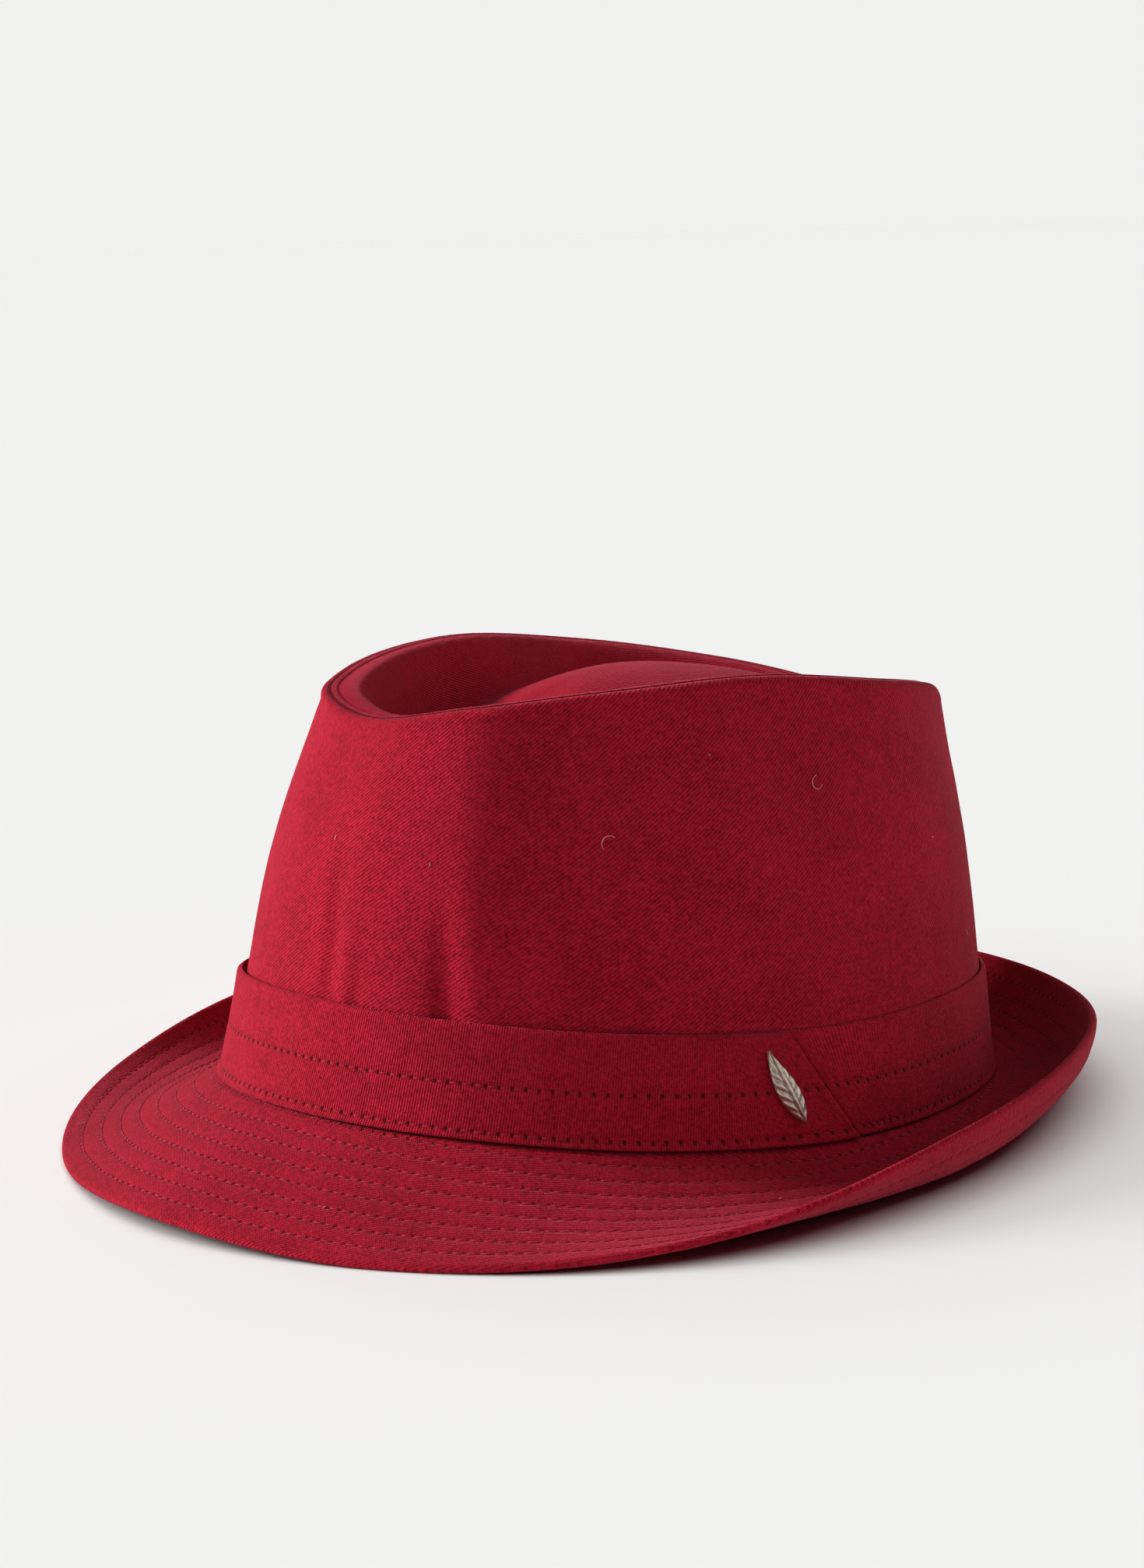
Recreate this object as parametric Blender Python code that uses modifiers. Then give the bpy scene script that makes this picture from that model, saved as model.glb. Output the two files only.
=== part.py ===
# A soft cotton trilby hat, built as separate cloth pieces in metres with +Z up.
# The front of the hat looks toward -Y and the wearer's left is +X.
import bpy
import bmesh
from math import cos, exp, hypot, pi, radians, sin
from mathutils import Vector

NAME = "trilby_hat"

# Head size and crown
HEAD_HALF_WIDTH = 0.0845
HEAD_HALF_LENGTH = 0.1005
HEAD_EGG = 0.018
CROWN_HEIGHT = 0.1135
WALL = 0.0018
FIT = 0.0003
BULGE_MIDDLE = 0.0023
BULGE_FRONT_EXTRA = 0.0012
HOLLOW_LOW_FRONT = 0.0013
SHOULDER = 0.0070
SEAM_LIP = 0.0008

# Brim
BRIM_WIDTH = 0.0440
BRIM_THICK = 0.0020
BRIM_CURL = 1.2
ROOT_FLAT = 0.0036

# Band and its lapped end
BAND_HEIGHT = 0.0250
BAND_THICK = 0.0012
LAP_RAISE = 0.0007
LAP_AT = 85.0
LAP_LENGTH = 34.0
LAP_SLANT = 9.0
LAP_STEP = 0.25

# Dent and mound of the crown tip
SEAM_FLAT = 0.0026
GROOVE_AT = 0.30
EDGE_ROUND = 2.2
DENT_DEPTH = 0.0260
SPINE_MIDDLE = 0.0120
SPINE_HALF = 0.0440
DOME_POWER = 2.2
DOME_SHARE = 0.65
DOME_EASE = 0.80

# The band's section, going round: share of its height, share of its thickness.
# The last two rows are the proud lower edge.
BAND_SECTION = (
    (0.000, 0.0),
    (0.330, 0.0),
    (0.660, 0.0),
    (1.000, 0.0),
    (1.000, 0.8),
    (0.975, 1.0),
    (0.140, 1.0),
    (0.060, 1.5),
    (0.000, 1.5),
)

# Plain metal pin
PIN_LENGTH = 0.0190
PIN_WIDTH = 0.0062
PIN_THICK = 0.0018
PIN_AT = 78.5
PIN_TURN = 4.0
PIN_LEVEL = 0.52
PIN_LEVEL_STEP = 0.02
PIN_LIFT = 0.0005
PIN_STATIONS = 14
# The pin's section, going round: share of its half width, share of its thickness.
PIN_SECTION = (
    (-1.00, 0.00),
    (-1.00, 0.35),
    (-0.45, 0.85),
    (0.00, 1.00),
    (0.45, 0.85),
    (1.00, 0.35),
    (1.00, 0.00),
)

# How the hat leans back until its back fold rests too, and how far the cloth is pressed flat
REST_LEAN = 1.42
REST_DROP = 0.0028

# Facets
AROUND = 72
STEP_DEG = 30.0

# One row for each section, every 30 degrees from the front to the back.
# Heights are shares of CROWN_HEIGHT, insets of HEAD_HALF_WIDTH, widths of BRIM_WIDTH,
# shoulders of SHOULDER, dents of DENT_DEPTH; slopes are degrees above the level.
COLUMNS = ("root", "rim", "inset", "shoulder", "brim", "root_slope", "edge_slope", "dent", "crest")
SECTIONS = (
    (0.167, 0.951, 0.340, 0.35, 0.91, -26.0, -25.0, 1.00, 0.860),
    (0.150, 0.983, 0.325, 0.35, 0.95, -29.0, -20.0, 0.95, 0.900),
    (0.110, 1.008, 0.370, 0.35, 1.00, -34.0, 20.0, 0.70, 0.970),
    (0.076, 1.014, 0.352, 0.40, 0.98, -36.0, 78.0, 0.48, 0.985),
    (0.070, 0.966, 0.235, 0.55, 0.84, -20.0, 88.0, 0.34, 0.960),
    (0.052, 0.907, 0.180, 0.75, 0.78, -11.0, 84.0, 0.22, 0.925),
    (0.046, 0.854, 0.150, 0.85, 0.77, -7.0, 82.0, 0.15, 0.900),
)

# Soft folds pressed into the crown side: degrees from the front (plus is the wearer's left),
# share of the crown's height, depth as a share of WALL, width in degrees, tallness as a share.
FOLD_COLUMNS = ("at", "height", "depth", "width", "tall")
FOLDS = (
    (31.0, 0.30, 0.70, 4.0, 0.15),
    (14.0, 0.27, 0.35, 5.0, 0.18),
    (58.0, 0.25, 0.30, 6.0, 0.16),
    (-34.0, 0.30, 0.50, 5.0, 0.18),
    (-68.0, 0.26, 0.35, 6.0, 0.16),
    (150.0, 0.30, 0.35, 7.0, 0.20),
    (42.0, 0.84, 0.80, 12.0, 0.26),
    (-42.0, 0.84, 0.80, 12.0, 0.26),
)


def section(column, degrees):
    """The smooth value of one table column at an angle from the front."""
    at = COLUMNS.index(column)
    last = len(SECTIONS) - 1
    place = abs((degrees + 180.0) % 360.0 - 180.0) / STEP_DEG
    low = min(int(place), last - 1)
    share = place - low
    rows = []
    for row in (low - 1, low, low + 1, low + 2):
        mirrored = abs(row) if row <= last else 2 * last - row
        rows.append(SECTIONS[mirrored][at])
    a, b, c, d = rows
    curve = 2.0 * a - 5.0 * b + 4.0 * c - d + share * (3.0 * (b - c) + d - a)
    return b + 0.5 * share * (c - a + share * curve)


def head_point(degrees):
    """A point of the head line in plan, with the way out from it."""
    turn = radians(degrees)
    x = HEAD_HALF_WIDTH * sin(turn) * (1.0 - HEAD_EGG * cos(turn))
    y = -HEAD_HALF_LENGTH * cos(turn)
    out_x = sin(turn) / HEAD_HALF_WIDTH
    out_y = -cos(turn) / HEAD_HALF_LENGTH
    size = hypot(out_x, out_y)
    return x, y, out_x / size, out_y / size


def place(degrees, outward, height):
    """The space point at a distance out from the head line."""
    x, y, out_x, out_y = head_point(degrees)
    return Vector((x + outward * out_x, y + outward * out_y, height))


def fold_depth(degrees, share):
    """How far the soft folds press the crown side in at one place."""
    depth = 0.0
    for row in FOLDS:
        fold = dict(zip(FOLD_COLUMNS, row))
        turn = (degrees - fold["at"] + 180.0) % 360.0 - 180.0
        across = exp(-((turn / fold["width"]) ** 2))
        up = exp(-(((share - fold["height"]) / fold["tall"]) ** 2))
        depth += fold["depth"] * WALL * across * up
    return depth


def root_height(degrees):
    return section("root", degrees) * CROWN_HEIGHT


def wall_foot(degrees):
    """Where the outer face of the crown side starts, clear of the brim."""
    return root_height(degrees) + BRIM_THICK + FIT + 0.25 * WALL


def wall_point(degrees, share):
    """The outer face of the crown side between its foot (0) and its shoulder (1)."""
    shoulder = section("shoulder", degrees) * SHOULDER
    inset = section("inset", degrees) * HEAD_HALF_WIDTH - shoulder - SEAM_LIP
    foot = wall_foot(degrees)
    top = section("rim", degrees) * CROWN_HEIGHT - shoulder
    front = cos(radians(degrees))
    bulge = BULGE_MIDDLE + BULGE_FRONT_EXTRA * front
    hollow = HOLLOW_LOW_FRONT * (0.5 + 0.5 * front)
    curve = bulge * sin(pi * share) - hollow * sin(2.0 * pi * share)
    outward = curve - inset * share - fold_depth(degrees, share)
    return outward, foot + (top - foot) * share


def shoulder_point(degrees, share):
    """The rounded shoulder from the wall's top (0) to the tip seam (1)."""
    shoulder = section("shoulder", degrees) * SHOULDER
    outward, height = wall_point(degrees, 1.0)
    turn = 0.5 * pi * share
    return outward - shoulder * (1.0 - cos(turn)), height + shoulder * sin(turn)


def spine_point(degrees):
    """Where the crest of the mound is met from one side of the rim."""
    along = SPINE_MIDDLE - SPINE_HALF * cos(radians(degrees))
    return Vector((0.0, along, section("crest", degrees) * CROWN_HEIGHT))


def seam_point(degrees, inward):
    """A point of the level seam, inward from the end of the shoulder."""
    outward, height = shoulder_point(degrees, 1.0)
    return place(degrees, outward - inward, height)


def tip_point(degrees, share):
    """The upper face of the crown tip from the seam edge (0) to the crest of the mound (1)."""
    rim = seam_point(degrees, SEAM_LIP + FIT + SEAM_FLAT)
    spine = spine_point(degrees)
    dent = section("dent", degrees) * DENT_DEPTH
    point = rim.lerp(spine, share)
    floor = rim.z - dent
    if share < GROOVE_AT:
        point.z = rim.z - dent * sin(0.5 * pi * share / GROOVE_AT) ** EDGE_ROUND
    else:
        part = (share - GROOVE_AT) / (1.0 - GROOVE_AT)
        lengthwise = abs(cos(radians(degrees)))
        rounded = 0.5 - 0.5 * cos(pi * part)
        dome = 1.0 - (1.0 - part) ** DOME_POWER
        across = rounded + DOME_SHARE * (dome - rounded)
        rise = across + DOME_EASE * lengthwise * (rounded - across)
        point.z = floor + (spine.z - floor) * rise
    return point


def brim_line(degrees, parts):
    """The underside of the brim from inside the head line to its edge."""
    root = root_height(degrees)
    width = section("brim", degrees) * BRIM_WIDTH
    start = radians(section("root_slope", degrees))
    end = radians(section("edge_slope", degrees))
    outward = -WALL - 2.0 * FIT
    line = [(outward, root)]
    outward += ROOT_FLAT
    line.append((outward, root))
    height = root
    for part in range(parts):
        share = (part + 0.5) / parts
        slope = start + (end - start) * share ** BRIM_CURL
        outward += cos(slope) * width / parts
        height += sin(slope) * width / parts
        line.append((outward, height))
    return [place(degrees, out, up) for out, up in line]


def loft(name, rows, closed_spine=False):
    """A surface from rows of points, each row running once around the hat."""
    body = bmesh.new()
    count = len(rows[0])
    grid = []
    for number, row in enumerate(rows):
        if closed_spine and number == len(rows) - 1:
            half = [body.verts.new(point) for point in row[: count // 2 + 1]]
            grid.append([half[min(at, count - at)] for at in range(count)])
        else:
            grid.append([body.verts.new(point) for point in row])
    for low, high in zip(grid, grid[1:]):
        for at in range(count):
            after = (at + 1) % count
            body.faces.new((low[at], low[after], high[after], high[at]))
    return finish_mesh(name, body)


def settle(point):
    """Lean a point back as the hat rests, and hold it above the floor."""
    lean = radians(REST_LEAN)
    y = point.y * cos(lean) + point.z * sin(lean)
    z = point.z * cos(lean) - point.y * sin(lean) - REST_DROP
    return Vector((point.x, y, max(z, 0.0)))


def finish_mesh(name, body):
    """Turn a built body into a named, smooth shaded object that rests on the floor."""
    for vertex in body.verts:
        vertex.co = settle(vertex.co)
    mesh = bpy.data.meshes.new(name)
    body.to_mesh(mesh)
    body.free()
    mesh.polygons.foreach_set("use_smooth", [True] * len(mesh.polygons))
    thing = bpy.data.objects.new(name, mesh)
    bpy.data.collections[NAME].objects.link(thing)
    return thing


def thicken(thing, thickness):
    """Give an open surface its cloth thickness, on the side away from its faces."""
    skin = thing.modifiers.new("cloth", "SOLIDIFY")
    skin.thickness = thickness
    skin.offset = -1.0
    skin.use_even_offset = True
    skin.use_quality_normals = True


def angles():
    return [360.0 * at / AROUND for at in range(AROUND)]


def make_brim():
    """The stitched brim, level under the crown and flat where it rests."""
    parts = 9
    lines = [brim_line(degrees, parts) for degrees in angles()]
    rows = [[line[at] for line in lines] for at in range(parts + 2)]
    brim = loft("brim", rows)
    thicken(brim, BRIM_THICK)
    return brim


def make_crown_side():
    """The side of the crown with its soft folds and rounded shoulder."""
    rows = []
    for at in range(8):
        rows.append([place(degrees, *wall_point(degrees, at / 7.0)) for degrees in angles()])
    for at in range(1, 4):
        rows.append([place(degrees, *shoulder_point(degrees, at / 3.0)) for degrees in angles()])
    rows.append([seam_point(degrees, SEAM_LIP) for degrees in angles()])
    side = loft("crown_side", rows)
    thicken(side, WALL)
    return side


def make_crown_tip():
    """The top of the crown with its dent, groove and mound."""
    shares = (0.0, 0.06, 0.12, 0.18, 0.24, GROOVE_AT, 0.42, 0.60, 0.80, 1.0)
    rows = [[seam_point(degrees, SEAM_LIP + FIT) for degrees in angles()]]
    rows += [[tip_point(degrees, share) for degrees in angles()] for share in shares]
    tip = loft("crown_tip", rows, closed_spine=True)
    thicken(tip, WALL)
    return tip


def band_angles():
    """Columns of the band, with two close together at the lap's edge."""
    near = [LAP_AT - LAP_STEP, LAP_AT + LAP_STEP]
    plain = [degrees for degrees in angles() if abs(degrees - LAP_AT) > 1.5]
    return sorted(plain + near)


def band_share(degrees, height):
    """The share of the crown side's height that a share of the band's height reaches."""
    top = section("rim", degrees) * CROWN_HEIGHT - section("shoulder", degrees) * SHOULDER
    return BAND_HEIGHT * height / (top - wall_foot(degrees))


def lap_raise(degrees):
    """How far the lapped end lifts the band's face, up to the lap's edge."""
    if degrees > LAP_AT:
        return 0.0
    return LAP_RAISE * max((degrees - LAP_AT + LAP_LENGTH) / LAP_LENGTH, 0.0)


def band_section(degrees):
    """The band's cross-section at one angle, as a closed list of points."""
    points = []
    for height, depth in BAND_SECTION:
        close = exp(-(((degrees - LAP_AT) / LAP_SLANT) ** 2))
        turned = degrees + LAP_SLANT * (0.5 - height) * close
        share = band_share(turned, height)
        outward, up = wall_point(turned, share)
        outward += fold_depth(turned, share)
        thick = BAND_THICK * depth + (lap_raise(degrees) if depth > 0.0 else 0.0)
        points.append(place(turned, outward + FIT + thick, up))
    return points


def make_hat_band():
    """The cloth band around the crown with its lapped end."""
    sections = [band_section(degrees) for degrees in band_angles()]
    body = bmesh.new()
    grid = [[body.verts.new(point) for point in row] for row in zip(*sections)]
    grid.append(grid[0])
    count = len(sections)
    for low, high in zip(grid, grid[1:]):
        for at in range(count):
            after = (at + 1) % count
            body.faces.new((low[at], high[at], high[after], low[after]))
    bmesh.ops.recalc_face_normals(body, faces=body.faces)
    return finish_mesh("hat_band", body)


def band_frame(degrees, height_share):
    """A place on the band's outer face with the ways along, up and out from it."""
    share = band_share(degrees, height_share)
    outward, up = wall_point(degrees, share)
    skin = FIT + BAND_THICK + lap_raise(degrees)
    here = place(degrees, outward + skin, up)
    higher_out, higher_up = wall_point(degrees, share + PIN_LEVEL_STEP)
    rise = place(degrees, higher_out + skin, higher_up) - here
    _, _, out_x, out_y = head_point(degrees)
    along = Vector((-out_y, out_x, 0.0))
    rise.normalize()
    out = along.cross(rise)
    return here, along, rise, out


def make_band_pin():
    """A plain leaf-shaped metal pin lying on the band."""
    here, along, rise, out = band_frame(PIN_AT, PIN_LEVEL)
    turn = radians(PIN_TURN)
    side = along * cos(turn) + rise * sin(turn)
    length = rise * cos(turn) - along * sin(turn)
    body = bmesh.new()
    rings = []
    for at in range(1, PIN_STATIONS):
        share = at / PIN_STATIONS
        half = 0.5 * PIN_WIDTH * sin(pi * share ** 0.8)
        thick = PIN_THICK * (0.45 + 0.55 * sin(pi * share))
        middle = here + length * (share - 0.5) * PIN_LENGTH + out * PIN_LIFT
        rings.append([body.verts.new(middle + side * half * x + out * thick * z) for x, z in PIN_SECTION])
    count = len(rings[0])
    for low, high in zip(rings, rings[1:]):
        for at in range(count):
            after = (at + 1) % count
            body.faces.new((low[at], low[after], high[after], high[at]))
    for end, ring in ((-0.5, rings[0]), (0.5, rings[-1])):
        tip = body.verts.new(here + length * end * PIN_LENGTH + out * (PIN_LIFT + 0.3 * PIN_THICK))
        for at in range(count):
            body.faces.new((ring[at], ring[(at + 1) % count], tip))
    bmesh.ops.recalc_face_normals(body, faces=body.faces)
    return finish_mesh("band_pin", body)


def make_material(name, colour, roughness, metallic):
    """One plain surface with its base colour."""
    paint = bpy.data.materials.new(name)
    paint.use_nodes = True
    surface = paint.node_tree.nodes["Principled BSDF"]
    surface.inputs["Base Color"].default_value = (*colour, 1.0)
    surface.inputs["Roughness"].default_value = roughness
    surface.inputs["Metallic"].default_value = metallic
    return paint


def red_twill(name, darker):
    return make_material(name, (0.36 * darker, 0.017 * darker, 0.036 * darker), 0.85, 0.0)


def pewter():
    return make_material("pin_metal", (0.42, 0.37, 0.32), 0.4, 1.0)


def outer_points(things):
    """Every point of the pieces as they stand with their thickness."""
    view = bpy.context.evaluated_depsgraph_get()
    points = []
    for thing in things:
        mesh = thing.evaluated_get(view).to_mesh()
        points += [vertex.co.copy() for vertex in mesh.vertices]
    return points


def centre_hat(things):
    """Move every piece so that the hat stands in the middle of its own box."""
    points = outer_points(things)
    middle_x = 0.5 * (max(p.x for p in points) + min(p.x for p in points))
    middle_y = 0.5 * (max(p.y for p in points) + min(p.y for p in points))
    floor = min(p.z for p in points)
    for thing in things:
        for vertex in thing.data.vertices:
            vertex.co -= Vector((middle_x, middle_y, floor))


def build_hat():
    for thing in list(bpy.data.objects):
        bpy.data.objects.remove(thing)
    group = bpy.data.collections.new(NAME)
    bpy.context.scene.collection.children.link(group)
    things = []
    for maker, paint in (
        (make_brim, red_twill("brim_twill", 1.0)),
        (make_crown_side, red_twill("side_twill", 1.0)),
        (make_crown_tip, red_twill("tip_twill", 0.95)),
        (make_hat_band, red_twill("band_twill", 0.95)),
        (make_band_pin, pewter()),
    ):
        thing = maker()
        thing.data.materials.append(paint)
        things.append(thing)
    centre_hat(things)


build_hat()
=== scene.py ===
# A soft dark red cotton trilby, dressed over its CAD parts piece by piece, from the crown side
# up to the tip, then out to the brim, and last the band, its pin, the lint and the studio.
from math import cos, exp, hypot, pi, radians, sin

import bpy
from mathutils import Matrix, Vector, kdtree, noise


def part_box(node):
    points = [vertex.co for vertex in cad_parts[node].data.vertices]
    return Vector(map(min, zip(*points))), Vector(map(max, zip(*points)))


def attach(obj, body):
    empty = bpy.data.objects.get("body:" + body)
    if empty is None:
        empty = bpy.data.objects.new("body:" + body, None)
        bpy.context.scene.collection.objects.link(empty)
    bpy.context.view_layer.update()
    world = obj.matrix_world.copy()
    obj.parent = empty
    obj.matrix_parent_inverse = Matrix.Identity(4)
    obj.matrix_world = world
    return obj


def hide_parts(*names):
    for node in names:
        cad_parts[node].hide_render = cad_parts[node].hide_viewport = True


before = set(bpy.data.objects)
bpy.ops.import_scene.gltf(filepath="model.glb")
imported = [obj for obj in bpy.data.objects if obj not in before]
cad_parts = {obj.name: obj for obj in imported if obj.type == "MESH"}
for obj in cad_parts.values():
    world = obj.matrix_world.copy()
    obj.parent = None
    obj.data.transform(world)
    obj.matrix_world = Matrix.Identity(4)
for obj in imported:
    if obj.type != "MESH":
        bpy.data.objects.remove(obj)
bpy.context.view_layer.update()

# Crown side. One shaped strip of red cotton twill, 1.8 mm thick with its stiffening. Its foot is
# sewn down to the brim and hidden by the band, and its top edge rolls over the shoulder to the
# tip seam. Steaming and handling left a few soft upright folds in it.
MM = 0.001
HEAD_HALF_WIDTH = 84.5 * MM
HEAD_HALF_LENGTH = 100.5 * MM
HEAD_EGG = 0.018
CROWN_HEIGHT = 113.5 * MM
CLOTH_THICK = 1.8 * MM
SEW_GAP = 0.3 * MM
BULGE_MIDDLE = 2.3 * MM
BULGE_FRONT_EXTRA = 1.2 * MM
HOLLOW_LOW_FRONT = 1.3 * MM
SHOULDER = 7.0 * MM
SEAM_LIP = 0.8 * MM
BRIM_THICK = 2.0 * MM
REST_LEAN = radians(1.42)
REST_DROP = 2.8 * MM

# One row every 30 degrees from the front to the back: heights are shares of CROWN_HEIGHT, insets
# of HEAD_HALF_WIDTH, widths of BRIM_WIDTH, shoulders of SHOULDER, dents of DENT_DEPTH.
SECTION_STEP = 30.0
SECTION_COLUMNS = (
    "root", "rim", "inset", "shoulder", "brim", "root_slope", "edge_slope", "dent", "crest"
)
SECTIONS = (
    (0.167, 0.951, 0.340, 0.35, 0.91, -26.0, -25.0, 1.00, 0.860),
    (0.150, 0.983, 0.325, 0.35, 0.95, -29.0, -20.0, 0.95, 0.900),
    (0.110, 1.008, 0.370, 0.35, 1.00, -34.0, 20.0, 0.70, 0.970),
    (0.076, 1.014, 0.352, 0.40, 0.98, -36.0, 78.0, 0.48, 0.985),
    (0.070, 0.966, 0.235, 0.55, 0.84, -20.0, 88.0, 0.34, 0.960),
    (0.052, 0.907, 0.180, 0.75, 0.78, -11.0, 84.0, 0.22, 0.925),
    (0.046, 0.854, 0.150, 0.85, 0.77, -7.0, 82.0, 0.15, 0.900),
)

# Soft folds in the crown side, and the finer creases and pinches that only the cloth shows:
# degrees from the front, share of the wall's height, depth in shares of CLOTH_THICK (a minus
# stands out), width in degrees, tallness as a share.
FOLDS = (
    (31.0, 0.30, 0.70, 4.0, 0.15),
    (14.0, 0.27, 0.35, 5.0, 0.18),
    (58.0, 0.25, 0.30, 6.0, 0.16),
    (-34.0, 0.30, 0.50, 5.0, 0.18),
    (-68.0, 0.26, 0.35, 6.0, 0.16),
    (150.0, 0.30, 0.35, 7.0, 0.20),
    (42.0, 0.84, 0.80, 12.0, 0.26),
    (-42.0, 0.84, 0.80, 12.0, 0.26),
)
CREASES = (
    (28.8, 0.30, 0.48, 1.8, 0.19),
    (33.0, 0.36, -0.52, 3.2, 0.27),
    (6.5, 0.38, 0.55, 2.2, 0.24),
    (10.2, 0.32, -0.22, 3.0, 0.20),
    (12.5, 0.26, 0.34, 1.6, 0.13),
    (58.0, 0.29, 0.34, 1.8, 0.17),
    (61.5, 0.30, -0.18, 2.2, 0.17),
    (72.0, 0.38, 0.22, 5.0, 0.22),
    (34.0, 0.60, -0.40, 6.0, 0.55),
    (49.0, 0.62, 0.95, 13.0, 0.42),
    (-31.0, 0.32, 0.26, 1.8, 0.17),
    (-33.8, 0.34, -0.20, 2.2, 0.18),
    (-34.0, 0.60, -0.30, 6.0, 0.55),
    (-49.0, 0.62, 0.70, 13.0, 0.42),
    (112.0, 0.30, 0.14, 2.2, 0.14),
    (-38.0, 0.73, 1.40, 24.0, 0.36),
    (140.0, 0.92, 0.55, 20.0, 0.25),
    (172.0, 0.40, 0.20, 1.4, 0.30),
)
AROUND = 480
WALL_ROWS = 58
SHOULDER_ROWS = 12
SWAY_WIDE = 26.0 * MM
SWAY_FINE = 7.0 * MM
SWAY_WIDE_DEPTH = 0.30 * MM
SWAY_FINE_DEPTH = 0.07 * MM


def section(column, degrees):
    """The smooth value of one column of SECTIONS at an angle from the front."""
    at = SECTION_COLUMNS.index(column)
    last = len(SECTIONS) - 1
    place = abs((degrees + 180.0) % 360.0 - 180.0) / SECTION_STEP
    low = min(int(place), last - 1)
    share = place - low
    rows = []
    for row in (low - 1, low, low + 1, low + 2):
        mirrored = abs(row) if row <= last else 2 * last - row
        rows.append(SECTIONS[mirrored][at])
    a, b, c, d = rows
    curve = 2.0 * a - 5.0 * b + 4.0 * c - d + share * (3.0 * (b - c) + d - a)
    return b + 0.5 * share * (c - a + share * curve)


def head_line(degrees):
    """A point of the head line in plan, and the way out from it."""
    turn = radians(degrees)
    x = HEAD_HALF_WIDTH * sin(turn) * (1.0 - HEAD_EGG * cos(turn))
    y = -HEAD_HALF_LENGTH * cos(turn)
    out_x = sin(turn) / HEAD_HALF_WIDTH
    out_y = -cos(turn) / HEAD_HALF_LENGTH
    size = hypot(out_x, out_y)
    return x, y, out_x / size, out_y / size


def lean_back(point):
    """Lean a point back as the hat rests, held above the table."""
    y = point.y * cos(REST_LEAN) + point.z * sin(REST_LEAN)
    z = point.z * cos(REST_LEAN) - point.y * sin(REST_LEAN) - REST_DROP
    return Vector((point.x, y, max(z, 0.0)))


def off_head(degrees, outward, height):
    """The place at a distance out from the head line and a height, before the lean."""
    x, y, out_x, out_y = head_line(degrees)
    return Vector((x + outward * out_x, y + outward * out_y, height))


def press(folds, degrees, share):
    """How far a table of folds presses the crown side in at one place."""
    depth = 0.0
    for at, height, fold_depth, width, tall in folds:
        turn = (degrees - at + 180.0) % 360.0 - 180.0
        if abs(turn) < 3.0 * width:
            across = exp(-((turn / width) ** 2))
            depth += fold_depth * CLOTH_THICK * across * exp(-(((share - height) / tall) ** 2))
    return depth


def wall_foot(degrees):
    """Where the crown side's outer face starts, clear of the brim."""
    return section("root", degrees) * CROWN_HEIGHT + BRIM_THICK + SEW_GAP + 0.25 * CLOTH_THICK


def smooth_wall(degrees, share):
    """The crown side without folds, from foot (0) to shoulder (1): distance out and height."""
    shoulder = section("shoulder", degrees) * SHOULDER
    inset = section("inset", degrees) * HEAD_HALF_WIDTH - shoulder - SEAM_LIP
    foot = wall_foot(degrees)
    top = section("rim", degrees) * CROWN_HEIGHT - shoulder
    front = cos(radians(degrees))
    bulge = BULGE_MIDDLE + BULGE_FRONT_EXTRA * front
    hollow = HOLLOW_LOW_FRONT * (0.5 + 0.5 * front)
    outward = bulge * sin(pi * share) - hollow * sin(2.0 * pi * share) - inset * share
    return outward, foot + (top - foot) * share


def folded_wall(degrees, share):
    """The same with the soft folds pressed in."""
    outward, height = smooth_wall(degrees, share)
    return outward - press(FOLDS, degrees, share), height


def shoulder_roll(degrees, share):
    """The rounded shoulder from the wall's top (0) to the tip seam (1)."""
    shoulder = section("shoulder", degrees) * SHOULDER
    outward, height = folded_wall(degrees, 1.0)
    turn = 0.5 * pi * share
    return outward - shoulder * (1.0 - cos(turn)), height + shoulder * sin(turn)


# The CAD hat was moved to the middle of its box, and so is this one
back_edge = max(lean_back(off_head(180.0, *folded_wall(180.0, step / 7.0))).y for step in range(8))
to_middle = Vector((0.0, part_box("crown_side")[1].y - back_edge, 0.0))


def seat(degrees, outward, height):
    """The finished place of a point given off the head line."""
    return lean_back(off_head(degrees, outward, height)) + to_middle


def sway(degrees, outward, height, wide, fine):
    """Small wandering of handled cloth, in and out, from a wide and a fine ripple."""
    here = off_head(degrees, outward, height)
    return wide * noise.noise(here / SWAY_WIDE) + fine * noise.noise(here / SWAY_FINE)


def round_hat(count):
    """Evenly spaced angles once round the hat, from the front."""
    return [360.0 * at / count for at in range(count)]


scene = bpy.context.scene


def add_object(name, points, faces, smooth=True):
    """A mesh object from its points and faces, put into the scene."""
    mesh = bpy.data.meshes.new(name)
    mesh.from_pydata(points, [], faces)
    mesh.polygons.foreach_set("use_smooth", [smooth] * len(faces))
    made = bpy.data.objects.new(name, mesh)
    scene.collection.objects.link(made)
    return made


def weave_sheet(name, rows, flat_rows, closed_spine=False, closed_section=False):
    """A cloth surface from rows of points that run once round the hat.
    flat_rows holds the same rows as they lay in the flat pattern, in millimetres, one point longer,
    and one row more where the section is closed."""
    count = len(rows[0])
    points = []
    numbers = []
    for number, row in enumerate(rows):
        start = len(points)
        if closed_spine and number == len(rows) - 1:
            points += row[: count // 2 + 1]
            numbers.append([start + min(at, count - at) for at in range(count)])
        else:
            points += row
            numbers.append(list(range(start, start + count)))
    if closed_section:
        numbers.append(numbers[0])
    faces = []
    flats = []
    for number in range(len(numbers) - 1):
        low = numbers[number]
        high = numbers[number + 1]
        for at in range(count):
            after = (at + 1) % count
            faces.append((low[at], low[after], high[after], high[at]))
            flats += [flat_rows[number][at], flat_rows[number][at + 1]]
            flats += [flat_rows[number + 1][at + 1], flat_rows[number + 1][at]]
    sheet = add_object(name, points, faces)
    pattern = sheet.data.uv_layers.new(name="cloth")
    pattern.data.foreach_set("uv", [number for flat in flats for number in flat])
    return sheet


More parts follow.
